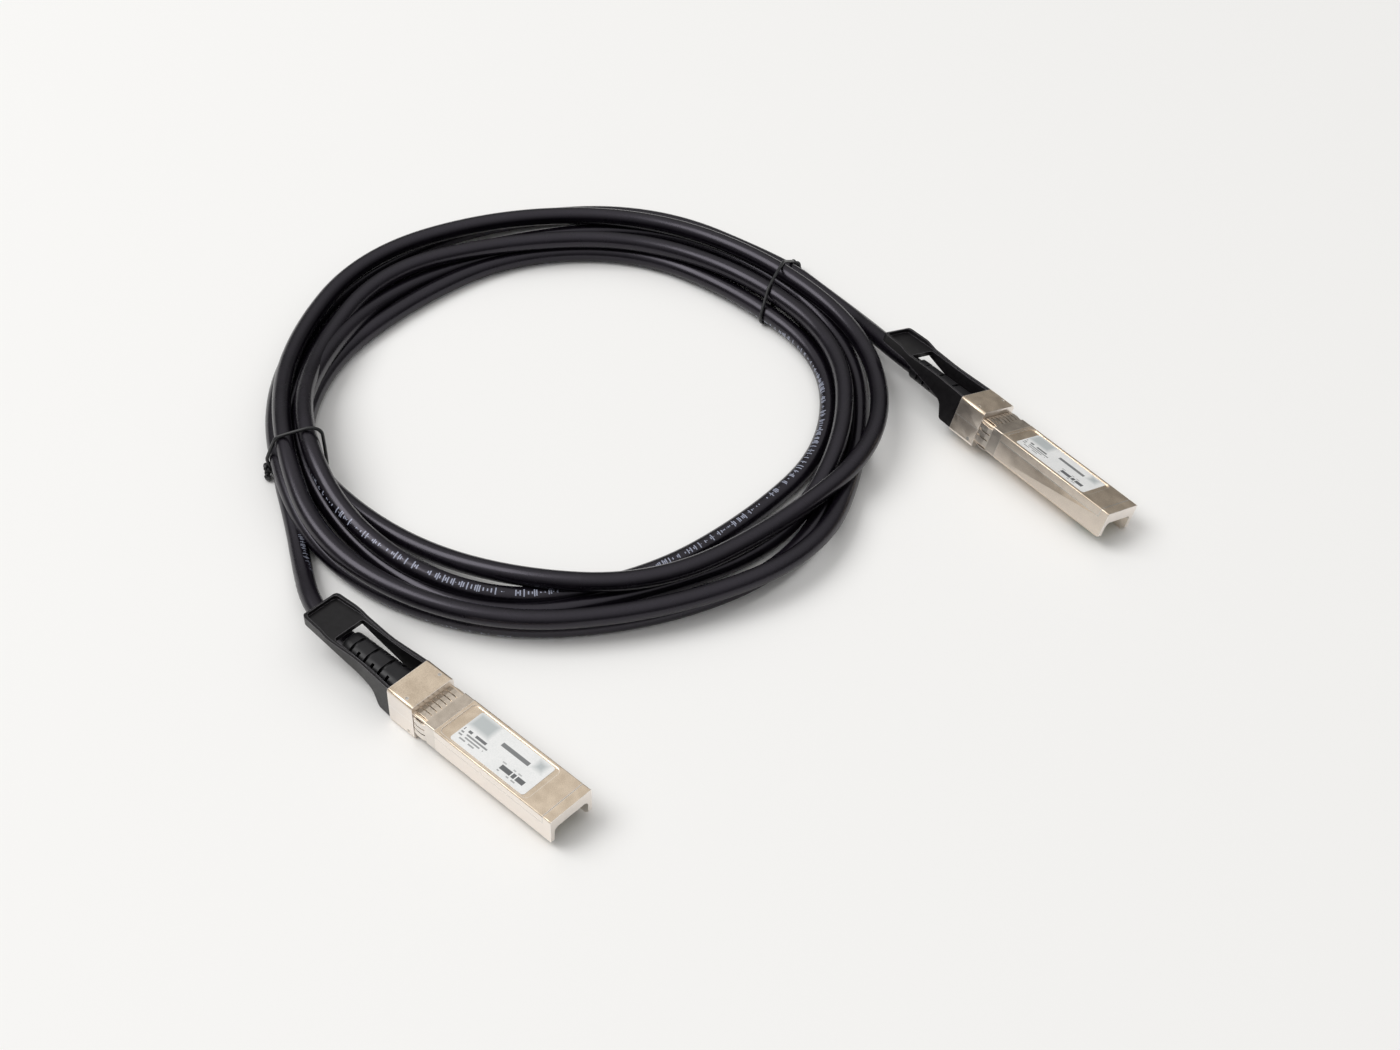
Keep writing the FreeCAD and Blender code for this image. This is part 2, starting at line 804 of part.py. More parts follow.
def coil_tie(angle, near, far):
    """Wire tie: a rounded loop round the turns, with its twisted end outside."""
    half = tie_wire / 2
    loop = along_y(rectangle((near - half, far + half), (0, tie_height), 4.5), (-half, half))
    inside = rectangle((near + half, far - half), (tie_wire, tie_height - tie_wire), 3.5)
    twist = box((far, far + tie_wire), (-half, tie_end_length), (tie_height / 2 - half, tie_height / 2 + half))
    tie = loop.cut(along_y(inside, (-1, 1))).fuse(twist)
    turned = Placement(Vector(*ring_centre, 0), Rotation(Vector(0, 0, 1), angle))
    return tie.transformed(turned.toMatrix())


os.makedirs("parts", exist_ok=True)

pieces = plug()
place_a = Placement(Vector(*end_a_place, shell_drop), Rotation())
turned = Rotation(*end_b_turn)
lift = -pieces["base_shell"].transformed(Placement(Vector(), turned).toMatrix()).BoundBox.ZMin
place_b = Placement(Vector(*end_b_place, lift), turned)

nodes = {}
for letter, place in (("a", place_a), ("b", place_b)):
    for name, piece in pieces.items():
        nodes[name + "_" + letter] = piece.transformed(place.toMatrix())

boot_end = Vector(-boot_rear, 0, axis_height)
exit_end = Vector(-boot_rear - exit_run, 0, axis_height)
for name, place, points in (("cable_tail_a", place_a, tail_a_points), ("cable_tail_b", place_b, tail_b_points)):
    first = [place.multVec(boot_end), place.multVec(exit_end)]
    print(name, "starts", first)
    nodes[name] = tube(first + [Vector(*point) for point in points], cable_diameter / 2)
nodes["cable_coil"] = cable_coil()
for name, (angle, near, far) in coil_ties.items():
    nodes[name] = coil_tie(angle, near, far)

for name, shape in nodes.items():
    shape.exportStep("parts/" + name + ".step")
print(len(nodes), "nodes")
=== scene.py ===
import math

import bmesh
import bpy
from mathutils import Euler, Matrix, Vector


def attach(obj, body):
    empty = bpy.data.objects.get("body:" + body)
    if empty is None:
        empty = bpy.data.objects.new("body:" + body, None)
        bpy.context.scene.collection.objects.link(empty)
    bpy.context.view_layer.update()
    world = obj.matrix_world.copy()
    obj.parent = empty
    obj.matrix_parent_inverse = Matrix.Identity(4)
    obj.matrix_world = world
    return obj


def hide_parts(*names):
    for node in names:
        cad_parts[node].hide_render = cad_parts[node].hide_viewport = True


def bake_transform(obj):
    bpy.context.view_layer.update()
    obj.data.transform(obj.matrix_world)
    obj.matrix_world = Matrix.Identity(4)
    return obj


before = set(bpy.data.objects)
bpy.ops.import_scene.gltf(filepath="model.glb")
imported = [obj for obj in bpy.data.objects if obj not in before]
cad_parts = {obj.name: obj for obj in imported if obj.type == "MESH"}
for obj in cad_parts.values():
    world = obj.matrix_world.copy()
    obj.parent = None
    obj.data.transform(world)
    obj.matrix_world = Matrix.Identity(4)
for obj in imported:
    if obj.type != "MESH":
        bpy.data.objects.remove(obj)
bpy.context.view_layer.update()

# ---- Paddle cards ------------------------------------------------------------------------------
# Each plug is built round a strip of glass-fibre circuit board under green
# solder mask. Ten gold-plated pads on each face of its front edge wipe the
# contacts in the port, and copper traces run back from them to the wires.
mm = 0.001                  # sizes are in millimetres, and the frame is in metres
same_point = 0.001 * mm     # corners as near as this are one corner
plug_spots = {
    # midway across the rear face, level with the bottom that slides in the port; and the turn
    "a": (Vector((-30.2, -92.4, 1.15)) * mm, Euler((0, 0, 0))),
    "b": (Vector((6.8, 86.4, 3.377)) * mm, Euler([math.radians(v) for v in (-17.9, 1.7, -7.7)])),
}
plug_places = {}
for letter, (spot, turn) in plug_spots.items():
    plug_places[letter] = Matrix.Translation(spot) @ turn.to_matrix().to_4x4() @ Matrix.Scale(mm, 4)
pad_pitch = 0.8
pads_in_row = 10
pad_size = (2.4, 0.56, 0.03)
pad_corner = 0.12
pad_from_edge = 0.35
late_pad_set_back = 0.3     # every third pad makes contact a little later
card_edge = 53.3
card_faces = (2.25, 3.25)   # heights of its two sides
trace_edge = (0.5, 0.6)     # how far across a lane the copper starts, softly


def add_node(tree, kind, inputs=(), **settings):
    """A shader node. An input is a number, a colour, or another node's output to link."""
    node = tree.nodes.new("ShaderNode" + kind)
    for name, value in settings.items():
        setattr(node, name, value)
    for name, value in dict(inputs).items():
        if isinstance(value, bpy.types.NodeSocket):
            tree.links.new(value, node.inputs[name])
        else:
            node.inputs[name].default_value = value
    return node


def calc(tree, operation, *values):
    """The output of a Math node."""
    return add_node(tree, "Math", dict(enumerate(values)), operation=operation).outputs[0]


def spread(tree, value, low, high, first=0.0, last=1.0):
    """The output of a node that takes a value from one range to another, and keeps it there."""
    ends = {"From Min": low, "From Max": high, "To Min": first, "To Max": last}
    return add_node(tree, "MapRange", {"Value": value, **ends}).outputs[0]


def new_group(name, inputs, outputs):
    """An empty node group, its input node and its output node, from the kind of each socket."""
    group = bpy.data.node_groups.new(name, "ShaderNodeTree")
    for label, kind in inputs.items():
        group.interface.new_socket(label, in_out="INPUT", socket_type="NodeSocket" + kind)
    for label, kind in outputs.items():
        group.interface.new_socket(label, in_out="OUTPUT", socket_type="NodeSocket" + kind)
    return group, group.nodes.new("NodeGroupInput"), group.nodes.new("NodeGroupOutput")


def new_finish(name, colour, roughness, metallic=0.0):
    """A material with plain settings."""
    finish = bpy.data.materials.new(name)
    finish.use_nodes = True
    shader = finish.node_tree.nodes["Principled BSDF"]
    shader.inputs["Base Color"].default_value = (*colour, 1)
    shader.inputs["Roughness"].default_value = roughness
    shader.inputs["Metallic"].default_value = metallic
    return finish


# Grain of a cast, moulded or plated surface: fine specks, broad soft patches, and
# a bump made from the specks. Both scales are per millimetre, the depth is in them.
grain_group, grain_in, grain_out = new_group(
    "grain",
    {"Specks": "Float", "Patches": "Float", "Depth": "Float"},
    {"Speck": "Float", "Patch": "Float", "Normal": "Vector"},
)
at = add_node(grain_group, "TexCoord").outputs["Object"]
specks = calc(grain_group, "MULTIPLY", grain_in.outputs["Specks"], 1 / mm)
patches = calc(grain_group, "MULTIPLY", grain_in.outputs["Patches"], 1 / mm)
depth = calc(grain_group, "MULTIPLY", grain_in.outputs["Depth"], mm)
speck = add_node(
    grain_group, "TexNoise",
    {"Vector": at, "Scale": specks, "Detail": 3.0, "Roughness": 0.65},
)
patch = add_node(grain_group, "TexNoise", {"Vector": at, "Scale": patches, "Detail": 2.0})
bump = add_node(
    grain_group, "Bump",
    {"Strength": 1.0, "Distance": depth, "Height": speck.outputs["Fac"]},
)
grain_group.links.new(speck.outputs["Fac"], grain_out.inputs["Speck"])
grain_group.links.new(patch.outputs["Fac"], grain_out.inputs["Patch"])
grain_group.links.new(bump.outputs["Normal"], grain_out.inputs["Normal"])


def mix_in(tree, share, colour, other):
    """The output of a node that mixes some share of another colour into a colour."""
    return add_node(
        tree, "Mix", {"Factor": share, 6: colour, 7: (*other, 1)}, data_type="RGBA",
    ).outputs[2]


def add_grain(finish, specks, patches, depth, tones, shine):
    """Works grain into a material: darker and lighter tones, and a band of roughness."""
    tree = finish.node_tree
    shader = tree.nodes["Principled BSDF"]
    grain = add_node(tree, "Group", node_tree=grain_group)
    for name, value in (("Specks", specks), ("Patches", patches), ("Depth", depth)):
        grain.inputs[name].default_value = value
    blend = add_node(tree, "Mix", {"Factor": 0.3, 2: grain.outputs["Speck"], 3: grain.outputs["Patch"]})
    colour = mix_in(tree, spread(tree, blend.outputs[0], 0.4, 0.6), (*tones[0], 1), tones[1])
    tree.links.new(colour, shader.inputs["Base Color"])
    tree.links.new(spread(tree, grain.outputs["Patch"], 0.3, 0.7, *shine), shader.inputs["Roughness"])
    tree.links.new(grain.outputs["Normal"], shader.inputs["Normal"])
    return tree, shader, colour


def in_plug(tree, letter):
    """The coordinate in one plug's own millimetres: along, across and up."""
    spot, turn = plug_spots[letter]
    at = add_node(tree, "TexCoord").outputs["Object"]
    return add_node(
        tree, "Mapping",
        {"Vector": at, "Location": spot, "Rotation": turn, "Scale": (mm, mm, mm)},
        vector_type="TEXTURE",
    ).outputs["Vector"]


def soften(piece, width):
    """Takes the sharpness off a piece's edges, as tumbling or moulding does."""
    edge = piece.modifiers.new("edges", "BEVEL")
    edge.width = width * mm
    edge.segments = 2
    edge.limit_method = "ANGLE"
    edge.angle_limit = math.radians(35)
    edge.harden_normals = True


def soften_node(node_name, width):
    """Softens a CAD node, whose faces are first joined along their edges."""
    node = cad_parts[node_name]
    weld = node.modifiers.new("weld", "WELD")
    weld.merge_threshold = same_point
    soften(node, width)


def dress(finish, *node_names):
    """Gives CAD nodes a finish."""
    for name in node_names:
        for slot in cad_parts[name].material_slots:
            slot.material = finish


def new_object(name, data):
    """An object in the scene."""
    made = bpy.data.objects.new(name, data)
    bpy.context.scene.collection.objects.link(made)
    return made


def add_piece(name, mesh, finish, body, slot, *replaced):
    """A piece that rides on a CAD body, stands for CAD nodes, and takes a finish. The slot is not used.
    """
    piece = new_object(name, mesh)
    mesh.materials.append(finish)
    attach(piece, body)
    if replaced:
        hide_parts(*replaced)
    return piece


gold = new_finish("pad_gold", (0.83, 0.6, 0.25), 0.25, 1.0)
add_grain(gold, 6, 0.8, 0.002, ((0.72, 0.5, 0.2), (0.9, 0.68, 0.32)), (0.18, 0.32))
for letter, place in plug_places.items():
    board = new_finish("board_mask_" + letter, (0.02, 0.12, 0.05), 0.3)
    tree, shader, mask = add_grain(
        board, 5, 0.6, 0.003, ((0.012, 0.085, 0.035), (0.02, 0.13, 0.055)), (0.22, 0.34),
    )
    on_card = add_node(tree, "SeparateXYZ", {0: in_plug(tree, letter)})
    lane = calc(tree, "PINGPONG", on_card.outputs["Y"], pad_pitch)
    traced = mix_in(tree, spread(tree, lane, *trace_edge, 0.0, 0.8), mask, (0.05, 0.26, 0.1))
    tree.links.new(traced, shader.inputs["Base Color"])
    dress(board, "paddle_card_" + letter)
    soften_node("paddle_card_" + letter, 0.12)

    pads = bmesh.new()
    for face, out in zip(card_faces, (-1, 1)):
        for i in range(pads_in_row):
            along = card_edge - pad_from_edge - pad_size[0] / 2
            if i % 3 == 1:
                along -= late_pad_set_back
            across = (i - (pads_in_row - 1) / 2) * pad_pitch
            middle = Matrix.Translation((along, across, face + out * pad_size[2] / 2))
            bmesh.ops.create_cube(pads, matrix=middle @ Matrix.Diagonal((*pad_size, 1)))
    upright = [e for e in pads.edges if abs(e.verts[0].co.z - e.verts[1].co.z) > pad_size[2] / 2]
    bmesh.ops.bevel(pads, geom=upright, offset=pad_corner, segments=3, affect="EDGES")
    pads.transform(place)
    pad_mesh = bpy.data.meshes.new("card_pads_" + letter)
    pads.to_mesh(pad_mesh)
    pads.free()
    add_piece("card_pads_" + letter, pad_mesh, gold, "root", "circuit_board")

# ---- Memory chips ------------------------------------------------------------------------------
# A small flat package in black epoxy sits on each card and tells the port what
# is plugged in. It is moulded with a matt, slightly sparkling skin.
epoxy = new_finish("chip_epoxy", (0.02, 0.02, 0.022), 0.55)
add_grain(epoxy, 12, 1.0, 0.004, ((0.014, 0.014, 0.016), (0.03, 0.03, 0.032)), (0.5, 0.62))
dress(epoxy, "memory_chip_a", "memory_chip_b")

# ---- Wire pairs and ferrules -------------------------------------------------------------------
# Two pairs of foil-wrapped wires come out of the cable, spread to the card and
# are soldered there. A copper ferrule crimped on the jacket earths the braid.
foil = new_finish("shield_foil", (0.72, 0.72, 0.72), 0.28, 1.0)
add_grain(foil, 3, 0.8, 0.02, ((0.6, 0.6, 0.6), (0.8, 0.8, 0.8)), (0.2, 0.4))
dress(foil, "twinax_pairs_a", "twinax_pairs_b")
copper = new_finish("ferrule_copper", (0.72, 0.42, 0.26), 0.35, 1.0)
add_grain(copper, 4, 0.5, 0.006, ((0.55, 0.3, 0.18), (0.78, 0.48, 0.32)), (0.28, 0.45))
dress(copper, "crimp_ferrule_a", "crimp_ferrule_b")

# ---- Housings ----------------------------------------------------------------------------------
# The lower housing and its cover are zinc pressure castings, nickel plated and
# tumbled. They keep a fine cast grain. Their upright sides are painted paler, a painted
# reflection, and their edges are paler, partly wear and partly a painted highlight.
# A mask of the edges, where a paler colour goes: partly wear, partly a painted highlight.
edge_group, edge_in, edge_out = new_group("edge_wear_and_highlight_mask", {"Width": "Float"}, {"Edge": "Float"})
reach = calc(edge_group, "MULTIPLY", edge_in.outputs["Width"], mm)
rounding = add_node(edge_group, "Bevel", {"Radius": reach}, samples=4)
facing = add_node(edge_group, "NewGeometry")
alike = add_node(
    edge_group, "VectorMath",
    {0: rounding.outputs["Normal"], 1: facing.outputs["Normal"]},
    operation="DOT_PRODUCT",
)
edge_group.links.new(spread(edge_group, alike.outputs["Value"], 0.98, 0.8), edge_out.inputs["Edge"])


def add_edge_wear_and_highlight(tree, shader, colour, width, wear_and_highlight_colour, amount):
    """Mixes a paler colour into a material along its edges, partly wear and partly a painted highlight.
    """
    edge = add_node(tree, "Group", node_tree=edge_group)
    edge.inputs["Width"].default_value = width
    share = calc(tree, "MULTIPLY", edge.outputs["Edge"], amount)
    tree.links.new(mix_in(tree, share, colour, wear_and_highlight_colour), shader.inputs["Base Color"])


def paint_side_reflection(tree, colour, paler):
    """Paints a reflection into a material: a paler colour on the faces that stand upright."""
    facing = add_node(tree, "SeparateXYZ", {0: add_node(tree, "TexCoord").outputs["Normal"]})
    level = calc(tree, "ABSOLUTE", facing.outputs["Z"])
    return mix_in(tree, spread(tree, level, 0.6, 0.05, 0.0, 0.75), colour, paler)


nickel = new_finish("cast_nickel", (0.75, 0.62, 0.48), 0.36, 1.0)
tree, shader, colour = add_grain(
    nickel, 6, 0.3, 0.016, ((0.64, 0.52, 0.39), (0.84, 0.71, 0.56)), (0.32, 0.42),
)
# painted reflection: the faces that stand upright get a paler colour
colour = paint_side_reflection(tree, colour, (0.98, 0.94, 0.91))
# the edges get a paler colour, partly wear and partly a painted highlight
add_edge_wear_and_highlight(tree, shader, colour, 0.35, (1.0, 0.98, 0.95), 1.0)
for letter in plug_places:
    for name in ("base_shell_", "top_cover_"):
        dress(nickel, name + letter)
        soften_node(name + letter, 0.18)

# ---- Collars -----------------------------------------------------------------------------------
# A ring of thin stamped spring sheet, plated and slotted into fingers, is snapped
# into the groove round the housing and presses on the walls of the port.
sheet_steel = new_finish("collar_sheet", (0.5, 0.45, 0.39), 0.32, 1.0)
tree, shader, colour = add_grain(
    sheet_steel, 5, 0.5, 0.004, ((0.52, 0.45, 0.37), (0.66, 0.58, 0.49)), (0.28, 0.4),
)
# painted reflection: the faces that stand upright get a paler colour
colour = paint_side_reflection(tree, colour, (0.88, 0.84, 0.8))
# the edges get a paler colour, partly wear and partly a painted highlight
add_edge_wear_and_highlight(tree, shader, colour, 0.15, (0.95, 0.9, 0.84), 0.7)
for letter in plug_places:
    dress(sheet_steel, "emi_collar_" + letter)

# ---- Latches -----------------------------------------------------------------------------------
# A rocking lever on a steel pin carries the tooth that holds the plug in its port.
# A leaf spring pushes the lever down and bends as a stamped slider on the tab lifts it.
bright_steel = new_finish("bright_steel", (0.62, 0.6, 0.57), 0.3, 1.0)
add_grain(bright_steel, 4, 0.5, 0.004, ((0.52, 0.5, 0.47), (0.68, 0.66, 0.63)), (0.24, 0.38))
for letter in plug_places:
    for name in ("latch_lever_", "latch_pin_", "tab_slider_", "cover_pins_"):
        dress(bright_steel, name + letter)
    soften_node("latch_lever_" + letter, 0.1)
    soften_node("cover_pins_" + letter, 0.08)

spring_bends = (10.2, 13.4)     # where the leaf starts to bend, and where it lies on the lever
spring_cuts = 12                # lines across the leaf, along which it can bend
cut_pitch = 0.3
for letter, place in plug_places.items():
    leaf = bmesh.new()
    leaf.from_mesh(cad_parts["latch_spring_" + letter].data)
    bmesh.ops.remove_doubles(leaf, verts=leaf.verts, dist=same_point)
    leaf.transform(place.inverted())
    for k in range(spring_cuts):
        bmesh.ops.bisect_plane(
            leaf, geom=leaf.verts[:] + leaf.edges[:] + leaf.faces[:],
            plane_co=(spring_bends[0] + cut_pitch * k, 0, 0), plane_no=(1, 0, 0),
        )
    leaf.transform(place)
    leaf_mesh = bpy.data.meshes.new("leaf_spring_" + letter)
    leaf.to_mesh(leaf_mesh)
    leaf.free()
    leaf_mesh.shade_smooth()
    leaf_mesh.set_sharp_from_angle(angle=math.radians(35))
    leaf_mesh.materials.append(bright_steel)
    spring = new_object("leaf_spring_" + letter, leaf_mesh)
    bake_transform(spring)
    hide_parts("latch_spring_" + letter)

# ---- Boots -------------------------------------------------------------------------------------
# A boot of black rubber is moulded on each end of the cable. Its tail narrows a
# little and is slotted, over the top and at the sides by turns, so that it bends.
boot_axis = 4.7
boot_core = 2.5
boot_sides = 64
slot_width = 0.95
slot_spots = [-4.9, -7.8, -10.6, -13.3, -15.95, -18.6]
slot_floor = 0.44           # share of the slot's width where its floor ends
slot_reach = 118            # degrees from the top, down each side
slot_crown = 20             # every second slot leaves the crown whole
boot_steps = [              # along, half width, half height
    (3.6, 4.25, 2.9), (2.4, 4.25, 2.9), (2.4, 5.2, 2.9), (1.0, 5.2, 2.9), (1.0, 4.25, 2.9),
    (0.0, 4.25, 2.9), (-21.3, 3.7, 2.9), (-21.8, 3.6, 2.8), (-22.0, 3.4, 2.6), (-22.0, 2.7, 2.6),
]


def boot_mesh(place):
    """The boot as a stack of flat-sided rings, drawn in to the cable where it is slotted."""
    rings = []
    for step, following in zip(boot_steps, boot_steps[1:] + [None]):
        rings.append((*step, None))
        if step[0] == 0.0:
            for i, spot in enumerate(slot_spots):
                share = spot / following[0]
                half = step[1] + (following[1] - step[1]) * share
                crown = slot_crown if i % 2 == 0 else -1
                for x, cut in ((0.5, None), (slot_floor, crown), (-slot_floor, crown), (-0.5, None)):
                    rings.append((spot + x * slot_width, half, step[2], cut))
    mesh = bmesh.new()
    loops = []
    for x, half, height, crown in rings:
        loop = []
        for k in range(boot_sides):
            angle = 2 * math.pi * (k + 0.5) / boot_sides
            from_top = math.degrees(min(angle, 2 * math.pi - angle))
            flat = math.copysign(half - height, math.sin(angle))
            y = flat + height * math.sin(angle)
            z = height * math.cos(angle)
            if crown is not None and crown < from_top < slot_reach:
                y = boot_core * math.sin(angle)
                z = boot_core * math.cos(angle)
            loop.append(mesh.verts.new(place @ Vector((x, y, boot_axis + z))))
        loops.append(loop)
    for near, far in zip(loops, loops[1:]):
        for k in range(boot_sides):
            mesh.faces.new((near[k - 1], near[k], far[k], far[k - 1]))
    mesh.faces.new(loops[0])
    mesh.faces.new(loops[-1])
    bmesh.ops.recalc_face_normals(mesh, faces=mesh.faces)
    made = bpy.data.meshes.new("boot")
    mesh.to_mesh(made)
    mesh.free()
    made.shade_smooth()
    made.set_sharp_from_angle(angle=math.radians(40))
    return made


rubber = new_finish("boot_rubber", (0.008, 0.008, 0.009), 0.42)
tree, shader, colour = add_grain(
    rubber, 5, 0.4, 0.012, ((0.005, 0.005, 0.006), (0.012, 0.011, 0.013)), (0.34, 0.5),
)
shader.inputs["Specular IOR Level"].default_value = 0.35
# the edges get a paler colour, partly wear and partly a painted highlight
add_edge_wear_and_highlight(tree, shader, colour, 0.2, (0.08, 0.078, 0.085), 0.6)
for letter, place in plug_places.items():
    stand_in = "strain_relief_" + letter
    add_piece("boot_" + letter, boot_mesh(place), rubber, "root", "boot_rubber", stand_in)

# ---- Pull tabs ---------------------------------------------------------------------------------
# A tab moulded in black nylon slides on each boot: two arms and a bridge below
# grip the slider, and behind them is a sunken thumb pad with a raised rim.
tab_front = -0.15
tab_rear = -33.9
tab_top = 10.0
grip_top = 10.8
tab_under = 8.2
bridge_top = 1.5
pad_floor = 9.62
window_rear = -22.3
channel = (40, 4.6)         # half length and half width of the way for the boot, below the pad
slider_strip = (4.2, 1.77)  # half length and half width of the slot for the slider
slider_head = (-3.7, 0.52, 3.02)
slider_heights = (0.93, 1.37)
past_sides = 8              # further than the tab reaches, across and up and down
past_heights = (-2, 12)
corner_steps = 8
tab_side = [                # along, up, corner radius
    (tab_front, tab_top), (-22.4, tab_top, 8.0), (-26.0, grip_top, 8.0), (tab_rear, grip_top, 1.0),
    (tab_rear, tab_under, 0.8), (-23.8, tab_under - 0.1, 6.0), (-17.0, 6.3, 12.0), (-7.0, 4.0, 3.0),
    (-4.9, -0.6, 1.0), (tab_front, -0.6, 0.5),
]
tab_plan = [                # along, half width, corner radius
    (tab_front, 6.5), (-12.0, 5.65, 40.0), (-23.8, 6.3, 12.0), (tab_rear, 5.7, 2.2),
]
rim_plan = [(1.0, 5.85), (-12.0, 4.95, 40.0), (-23.8, 5.55, 12.0), (tab_rear + 1.0, 4.85, 1.3)]
window_plan = [(1.0, 5.5), (-8.0, 4.75, 20.0), (window_rear, 4.62, 0.7)]


def rounded(corners):
    """The outline with each corner rounded to its radius, where it has one."""
    points = []
    for i, corner in enumerate(corners):
        here = Vector(corner[:2])
        back = Vector(corners[i - 1][:2]) - here
        ahead = Vector(corners[(i + 1) % len(corners)][:2]) - here
        radius = corner[2] if len(corner) > 2 else 0
        half_turn = (math.pi - back.angle(ahead)) / 2
        reach = radius * math.tan(half_turn)
        if reach < 0.001:
            points.append(here)
            continue
        inwards = (back.normalized() + ahead.normalized()).normalized()
        middle = here + inwards * (radius / math.cos(half_turn))
        start = here + back.normalized() * reach - middle
        stop = here + ahead.normalized() * reach - middle
        for k in range(corner_steps + 1):
            spoke = start.lerp(stop, k / corner_steps).normalized() * radius
            points.append(middle + spoke)
    return points


def both_halves(plan):
    """An outline from the corners of its half at +Y."""
    return plan + [(x, -y, *rest) for x, y, *rest in reversed(plan)]


def prism(outline, axis, low, high):
    """An object: the outline pushed along Y or Z between two heights."""
    mesh = bmesh.new()
    ends = []
    for height in (low, high):
        if axis == "Y":
            ends.append([mesh.verts.new((p[0], height, p[1])) for p in outline])
        else:
            ends.append([mesh.verts.new((p[0], p[1], height)) for p in outline])
    mesh.faces.new(ends[0])
    mesh.faces.new(ends[1])
    for k in range(len(outline)):
        mesh.faces.new((ends[0][k - 1], ends[0][k], ends[1][k], ends[1][k - 1]))
    bmesh.ops.recalc_face_normals(mesh, faces=mesh.faces)
    data = bpy.data.meshes.new("prism")
    mesh.to_mesh(data)
    mesh.free()
    return new_object("prism", data)


def oblong(middle, half_length, half_width):
    """The corners of a rectangle that lies along X, midway across."""
    signs = [(-1, -1), (1, -1), (1, 1), (-1, 1)]
    return [(middle + x * half_length, y * half_width) for x, y in signs]


def tab_mesh(place):
    """The tab, cut from one block in the plug's own millimetres, then put in place."""
    block = prism(rounded(tab_side), "Y", -past_sides, past_sides)
    tools = [
        ("INTERSECT", prism(rounded(both_halves(tab_plan)), "Z", *past_heights)),
        ("DIFFERENCE", prism(rounded(both_halves(window_plan)), "Z", bridge_top, past_heights[1])),
        ("DIFFERENCE", prism(oblong(0, *channel), "Z", bridge_top, tab_under)),
        ("DIFFERENCE", prism(rounded(both_halves(rim_plan)), "Z", pad_floor, past_heights[1])),
        ("DIFFERENCE", prism(oblong(0, *slider_strip), "Z", *slider_heights)),
        ("DIFFERENCE", prism(oblong(*slider_head), "Z", *slider_heights)),
    ]
    for operation, tool in tools:
        cut = block.modifiers.new("cut", "BOOLEAN")
        cut.operation = operation
        cut.solver = "EXACT"
        cut.object = tool
    graph = bpy.context.evaluated_depsgraph_get()
    made = bpy.data.meshes.new_from_object(block.evaluated_get(graph), depsgraph=graph)
    for spare in [block] + [tool for operation, tool in tools]:
        bpy.data.objects.remove(spare)
    made.transform(place)
    made.shade_smooth()
    made.set_sharp_from_angle(angle=math.radians(35))
    return made


nylon = new_finish("tab_nylon", (0.016, 0.015, 0.017), 0.4)
tree, shader, colour = add_grain(
    nylon, 5, 0.8, 0.014, ((0.004, 0.0035, 0.004), (0.010, 0.009, 0.010)), (0.30, 0.40),
)
shader.inputs["Specular IOR Level"].default_value = 0.3
# the edges get a paler colour, partly wear and partly a painted highlight
add_edge_wear_and_highlight(tree, shader, colour, 0.25, (0.24, 0.23, 0.25), 0.8)
for letter, place in plug_places.items():
    name = "tab_" + letter
    tab = add_piece(name, tab_mesh(place), nylon, name, "tab_plastic", "pull_" + name)
    soften(tab, 0.16)

# ---- Labels ------------------------------------------------------------------------------------
# A white polyester film with a slight gloss is stuck in the sunken panel of each
# cover. It is printed in grey, with soft fields and with plain and broken bars.
label_middle = (33.4, 0.0)
print_bars = [              # along, across, half length, half width, darkness, length of its breaks
    (-7.8, -0.9, 4.3, 0.4, 0.85, 1.2), (-7.6, -2.0, 4.5, 0.25, 0.7, 1.0),
    (-7.9, -2.9, 4.2, 0.22, 0.65, 1.0), (-8.4, -3.8, 3.4, 0.22, 0.6, 1.0),
    (2.6, 1.9, 4.6, 0.6, 0.8, 0), (6.0, -3.0, 4.4, 0.7, 0.9, 0.35),
    (5.2, -1.7, 3.2, 0.2, 0.45, 0.8), (5.6, -4.3, 3.0, 0.2, 0.55, 0.8),
]
print_fields = [(-9.0, 2.9, 3.3, 2.3), (9.6, 3.4, 1.3, 1.3)]     # along, across, half sizes
bar_softness = 0.05
field_softness = 0.8
share_left_out = 0.3        # of a broken bar's pieces
print_group, print_in, print_out = new_group(
    "label_print", {"Place": "Vector"}, {"Ink": "Float", "Field": "Float"},
)


def inside_box(tree, at, x, y, half_x, half_y, soft):
    """1 inside a rectangle on the label, 0 outside, with an edge that is soft over some length."""
    off = add_node(tree, "VectorMath", {0: at, 1: (x, y, 0)}, operation="SUBTRACT")
    off = add_node(tree, "VectorMath", {0: off.outputs[0]}, operation="ABSOLUTE")
    off = add_node(tree, "VectorMath", {0: off.outputs[0], 1: (half_x, half_y, 0)}, operation="SUBTRACT")
    sides = add_node(tree, "SeparateXYZ", {0: off.outputs[0]})
    return spread(tree, calc(tree, "MAXIMUM", sides.outputs["X"], sides.outputs["Y"]), soft, -soft)


at = add_node(
    print_group, "VectorMath",
    {0: print_in.outputs["Place"], 1: (*label_middle, 0)},
    operation="SUBTRACT",
).outputs[0]
ink = field = 0.0
for x, y, half_x, half_y, dark, piece in print_bars:
    bar = inside_box(print_group, at, x, y, half_x, half_y, bar_softness)
    if piece:
        spot = add_node(print_group, "SeparateXYZ", {0: at}).outputs["X"]
        step = calc(print_group, "SNAP", calc(print_group, "ADD", spot, x * y), piece)
        luck = add_node(print_group, "TexWhiteNoise", {"W": step}, noise_dimensions="1D")
        there = calc(print_group, "GREATER_THAN", luck.outputs["Value"], share_left_out)
        bar = calc(print_group, "MULTIPLY", bar, there)
    ink = calc(print_group, "MAXIMUM", ink, calc(print_group, "MULTIPLY", bar, dark))
for box in print_fields:
    field = calc(print_group, "MAXIMUM", field, inside_box(print_group, at, *box, field_softness))
print_group.links.new(ink, print_out.inputs["Ink"])
print_group.links.new(field, print_out.inputs["Field"])

